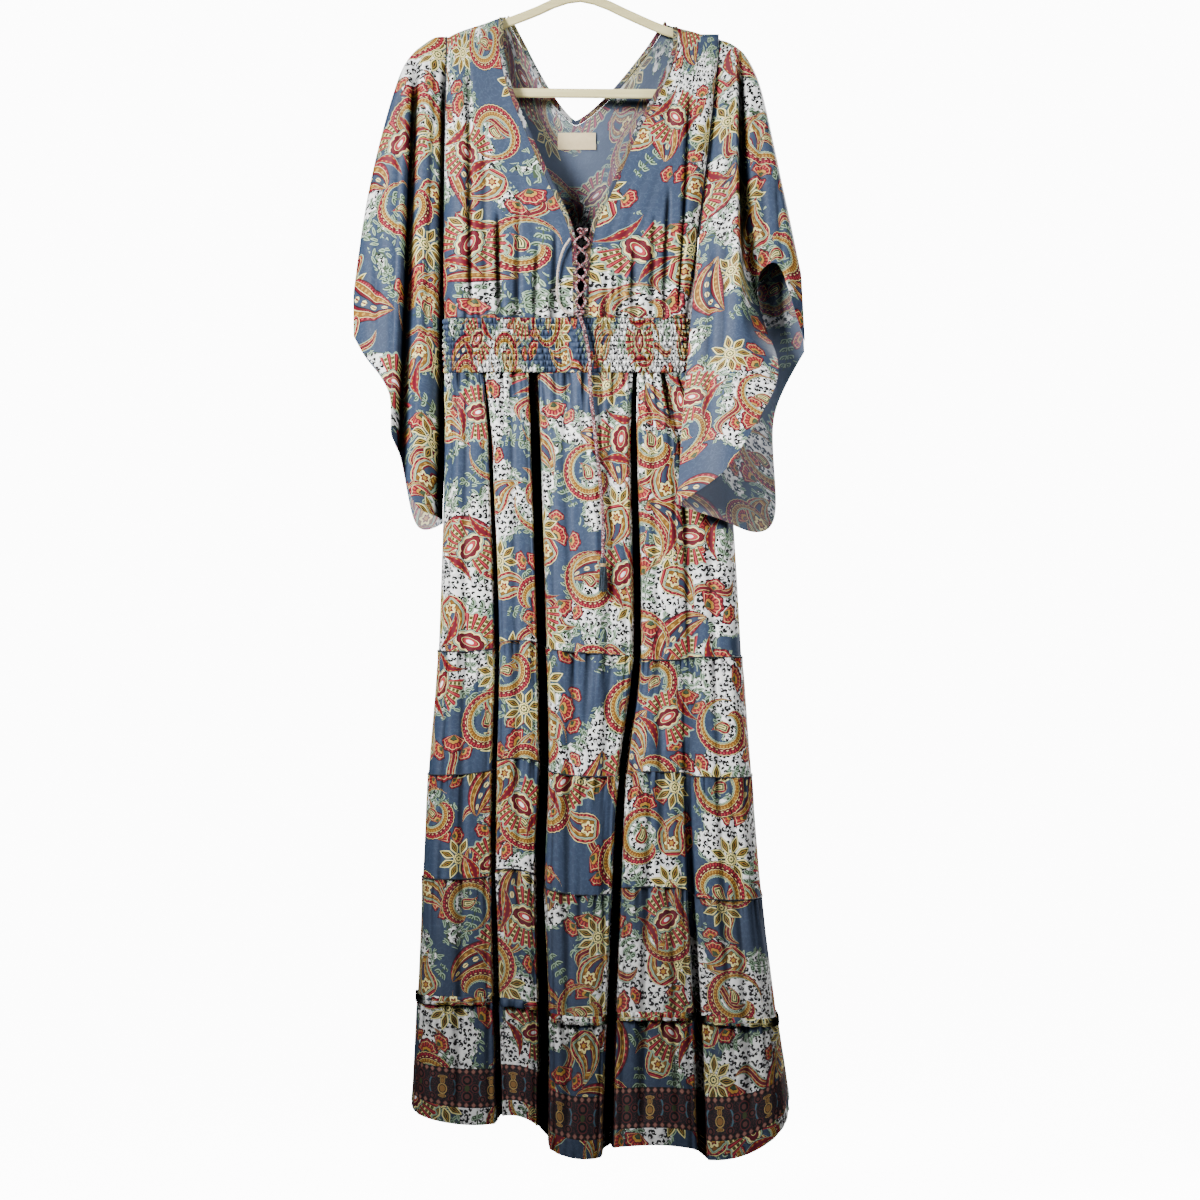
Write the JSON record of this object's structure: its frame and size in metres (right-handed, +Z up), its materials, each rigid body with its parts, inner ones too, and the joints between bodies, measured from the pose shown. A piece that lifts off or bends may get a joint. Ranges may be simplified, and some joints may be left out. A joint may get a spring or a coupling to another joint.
{
  "type": "maxi dress on a hanger",
  "caption": "Tiered maxi dress with a deep V neck, laced front, smocked waist and wide draped sleeves, hanging on a slim clothes hanger.",
  "frame": {"origin": "the point inside the top of the hanger's hook where a rail carries it", "axes": "+Z up, -Y towards the front of the dress, +X towards the right of the front view"},
  "size_m": [0.5905, 0.2079, 1.5982],
  "materials": {
    "print": "woven crepe, printed",
    "trim": "woven crepe, printed",
    "cord": "twisted cord",
    "tassel": "thread",
    "label": "woven tape",
    "slat": "satin lacquer",
    "wire": "polished"
  },
  "bodies": {
    "root": {"bodice_back": "print", "bodice_front_left": "print", "bodice_front_right": "print", "hanger": "slat", "hanger_hook": "wire", "header_back": "print", "header_front": "print", "lace_bow": "cord", "lace_knot": "cord", "lace_loop": "cord", "lace_over": "cord", "lace_tail": "cord", "lace_under": "cord", "neck_binding_back": "trim", "neck_binding_left": "trim", "neck_binding_right": "trim", "neck_label": "label", "sleeve_left": "print", "sleeve_right": "print", "tassel": "tassel", "tier_1_back": "print", "tier_1_front": "print", "tier_2_back": "print", "tier_2_front": "print", "tier_3_back": "print", "tier_3_front": "print", "tier_4_back": "print", "tier_4_front": "print", "tier_5_back": "print", "tier_5_front": "print", "waistband_back": "print", "waistband_front": "print"}
  },
  "joints": []
}
